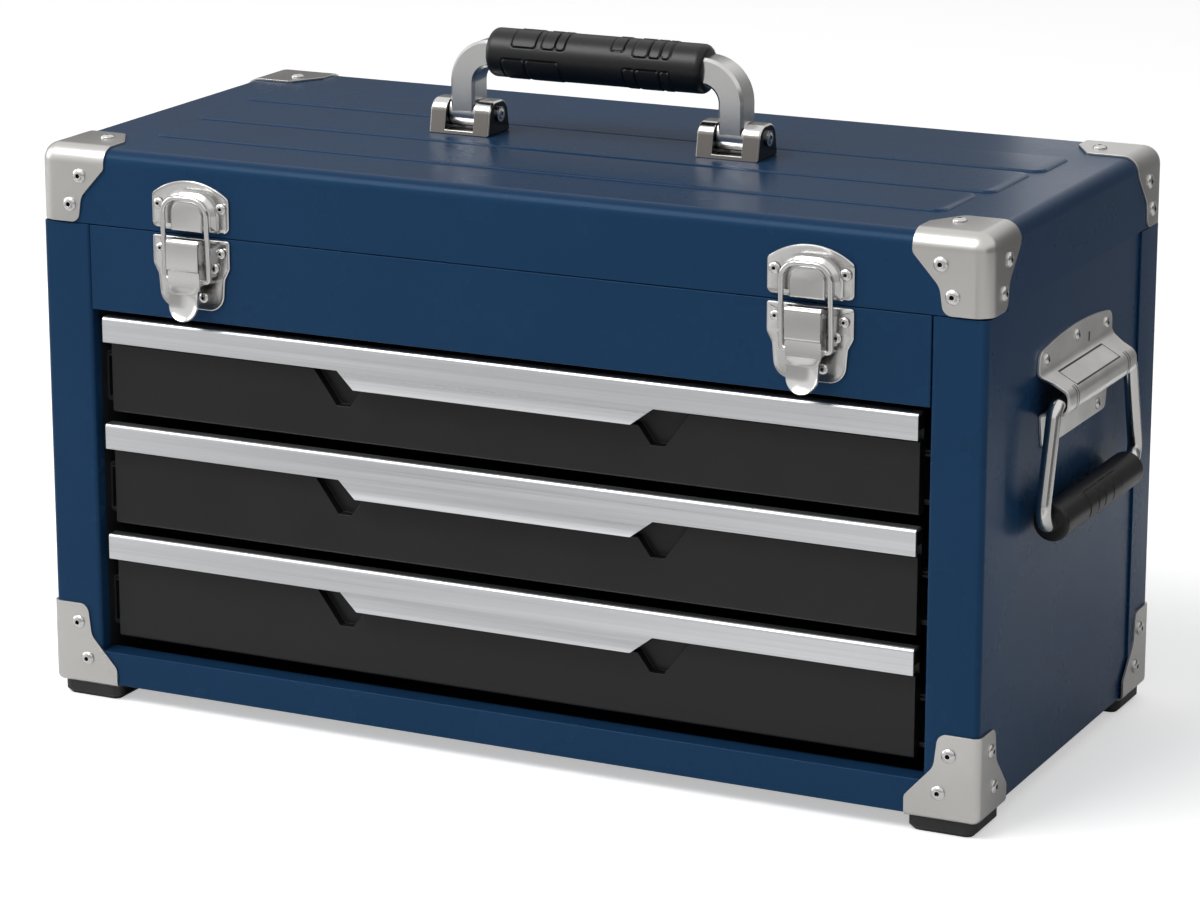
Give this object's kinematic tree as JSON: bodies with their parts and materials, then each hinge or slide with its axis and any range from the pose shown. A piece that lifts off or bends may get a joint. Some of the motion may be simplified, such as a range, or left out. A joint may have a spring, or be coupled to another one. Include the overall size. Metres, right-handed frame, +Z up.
{
  "type": "portable tool box",
  "caption": "Portable steel tool box with stacked drawers, a hinged lid over a top tray, draw latches, corner protectors, a carrying handle and side handles.",
  "frame": {"origin": "centre of the whole box in plan, on the plane that the feet stand on", "axes": "+X to the right seen from the front, -Y out of the drawer front, +Z up"},
  "size_m": [0.5578, 0.2646, 0.3532],
  "materials": {
    "body_paint": "satin navy powder coat with a fine orange-peel surface",
    "inner_paint": "dark grey satin paint on the inner sheet",
    "corner_steel": "satin nickel-plated drawn steel",
    "plated_steel": "bright nickel plate",
    "satin_bow": "satin bright bow with softly polished edges",
    "bracket_metal": "dark bright plate over cast metal",
    "pull_aluminium": "lengthwise brushed and clear anodised",
    "drawer_plastic": "fine-grained black moulding",
    "grip_rubber": "soft black grip with raised pads",
    "foot_rubber": "plain black rubber",
    "zinc_steel": "clear zinc plate",
    "rivet_steel": "bright domed rivet heads"
  },
  "bodies": {
    "case": {"case_wrapper": "body_paint", "base_pan": "inner_paint", "top_tray": "inner_paint", "top_rail": "body_paint", "bottom_rail": "body_paint", "front_posts": "body_paint", "rear_posts": "body_paint", "runner_liner_left": "inner_paint", "runner_liner_right": "inner_paint", "base_corners_front": "corner_steel", "base_corners_rear": "corner_steel", "rubber_feet": "foot_rubber", "runner_channels": "zinc_steel", "hinge_leaf_case": "zinc_steel", "hinge_pin": "zinc_steel", "latch_base_left": "plated_steel", "latch_base_right": "plated_steel", "latch_pins": "zinc_steel", "side_plate_left": "plated_steel", "side_plate_right": "plated_steel", "stay_studs": "zinc_steel", "case_rivets": "rivet_steel"},
    "lid": {"lid_shell": "body_paint", "lid_corners_front": "corner_steel", "lid_corners_rear": "corner_steel", "hinge_leaf_lid": "zinc_steel", "latch_strike_left": "plated_steel", "latch_strike_right": "plated_steel", "handle_bracket_left": "bracket_metal", "handle_bracket_right": "bracket_metal", "handle_pins": "rivet_steel", "stay_pivots": "zinc_steel", "lid_rivets": "rivet_steel"},
    "carry_handle": {"handle_frame": "satin_bow", "handle_grip": "grip_rubber"},
    "stay_left": {"stay_arm_left": "zinc_steel"},
    "side_handle_left": {"side_bail_left": "plated_steel", "side_grip_left": "grip_rubber"},
    "latch_lever_left": {"latch_lever_left": "plated_steel"},
    "latch_bail_left": {"latch_bail_left": "plated_steel"},
    "stay_right": {"stay_arm_right": "zinc_steel"},
    "side_handle_right": {"side_bail_right": "plated_steel", "side_grip_right": "grip_rubber"},
    "latch_lever_right": {"latch_lever_right": "plated_steel"},
    "latch_bail_right": {"latch_bail_right": "plated_steel"},
    "upper_drawer": {"upper_drawer_tray": "inner_paint", "upper_drawer_face": "drawer_plastic", "upper_drawer_pull": "pull_aluminium", "upper_drawer_runners": "zinc_steel"},
    "middle_drawer": {"middle_drawer_tray": "inner_paint", "middle_drawer_face": "drawer_plastic", "middle_drawer_pull": "pull_aluminium", "middle_drawer_runners": "zinc_steel"},
    "lower_drawer": {"lower_drawer_tray": "inner_paint", "lower_drawer_face": "drawer_plastic", "lower_drawer_pull": "pull_aluminium", "lower_drawer_runners": "zinc_steel"}
  },
  "joints": [
    {"name": "lid_hinge", "type": "hinge", "parent": "case", "child": "lid", "pos_m": [0, 0.12975, 0.25695], "axis": [-1, 0, 0], "range_deg": [0, 90]},
    {"name": "carry_handle_swing", "type": "hinge", "parent": "lid", "child": "carry_handle", "pos_m": [0, 0.00365, 0.3077], "axis": [1, 0, 0], "range_deg": [-80, 80]},
    {"name": "stay_turn_left", "type": "hinge", "parent": "lid", "child": "stay_left", "pos_m": [-0.2534, 0.10673, 0.27918], "axis": [-1, 0, 0], "range_deg": [-45, 0]},
    {"name": "side_handle_swing_left", "type": "hinge", "parent": "case", "child": "side_handle_left", "pos_m": [-0.2693, 0.00365, 0.2007], "axis": [0, 1, 0], "range_deg": [0, 90]},
    {"name": "latch_lever_turn_left", "type": "hinge", "parent": "case", "child": "latch_lever_left", "pos_m": [-0.1705, -0.12615, 0.2525], "axis": [-1, 0, 0], "range_deg": [0, 125]},
    {"name": "latch_bail_turn_left", "type": "hinge", "parent": "latch_lever_left", "child": "latch_bail_left", "pos_m": [-0.1705, -0.12545, 0.2347], "axis": [-1, 0, 0], "range_deg": [-144, 0]},
    {"name": "stay_turn_right", "type": "hinge", "parent": "lid", "child": "stay_right", "pos_m": [0.2534, 0.10673, 0.27918], "axis": [-1, 0, 0], "range_deg": [-45, 0]},
    {"name": "side_handle_swing_right", "type": "hinge", "parent": "case", "child": "side_handle_right", "pos_m": [0.2693, 0.00365, 0.2007], "axis": [0, -1, 0], "range_deg": [0, 90]},
    {"name": "latch_lever_turn_right", "type": "hinge", "parent": "case", "child": "latch_lever_right", "pos_m": [0.1705, -0.12615, 0.2525], "axis": [-1, 0, 0], "range_deg": [0, 125]},
    {"name": "latch_bail_turn_right", "type": "hinge", "parent": "latch_lever_right", "child": "latch_bail_right", "pos_m": [0.1705, -0.12545, 0.2347], "axis": [-1, 0, 0], "range_deg": [-144, 0]},
    {"name": "upper_drawer_slide", "type": "slide", "parent": "case", "child": "upper_drawer", "axis": [0, -1, 0], "range_m": [0, 0.165]},
    {"name": "middle_drawer_slide", "type": "slide", "parent": "case", "child": "middle_drawer", "axis": [0, -1, 0], "range_m": [0, 0.165]},
    {"name": "lower_drawer_slide", "type": "slide", "parent": "case", "child": "lower_drawer", "axis": [0, -1, 0], "range_m": [0, 0.165]}
  ],
  "couplings": [
    {"joint": "stay_turn_left", "follows": "lid_hinge", "ratio": -0.5},
    {"joint": "latch_bail_turn_left", "follows": "latch_lever_turn_left", "ratio": -1.15},
    {"joint": "stay_turn_right", "follows": "lid_hinge", "ratio": -0.5},
    {"joint": "latch_bail_turn_right", "follows": "latch_lever_turn_right", "ratio": -1.15}
  ]
}
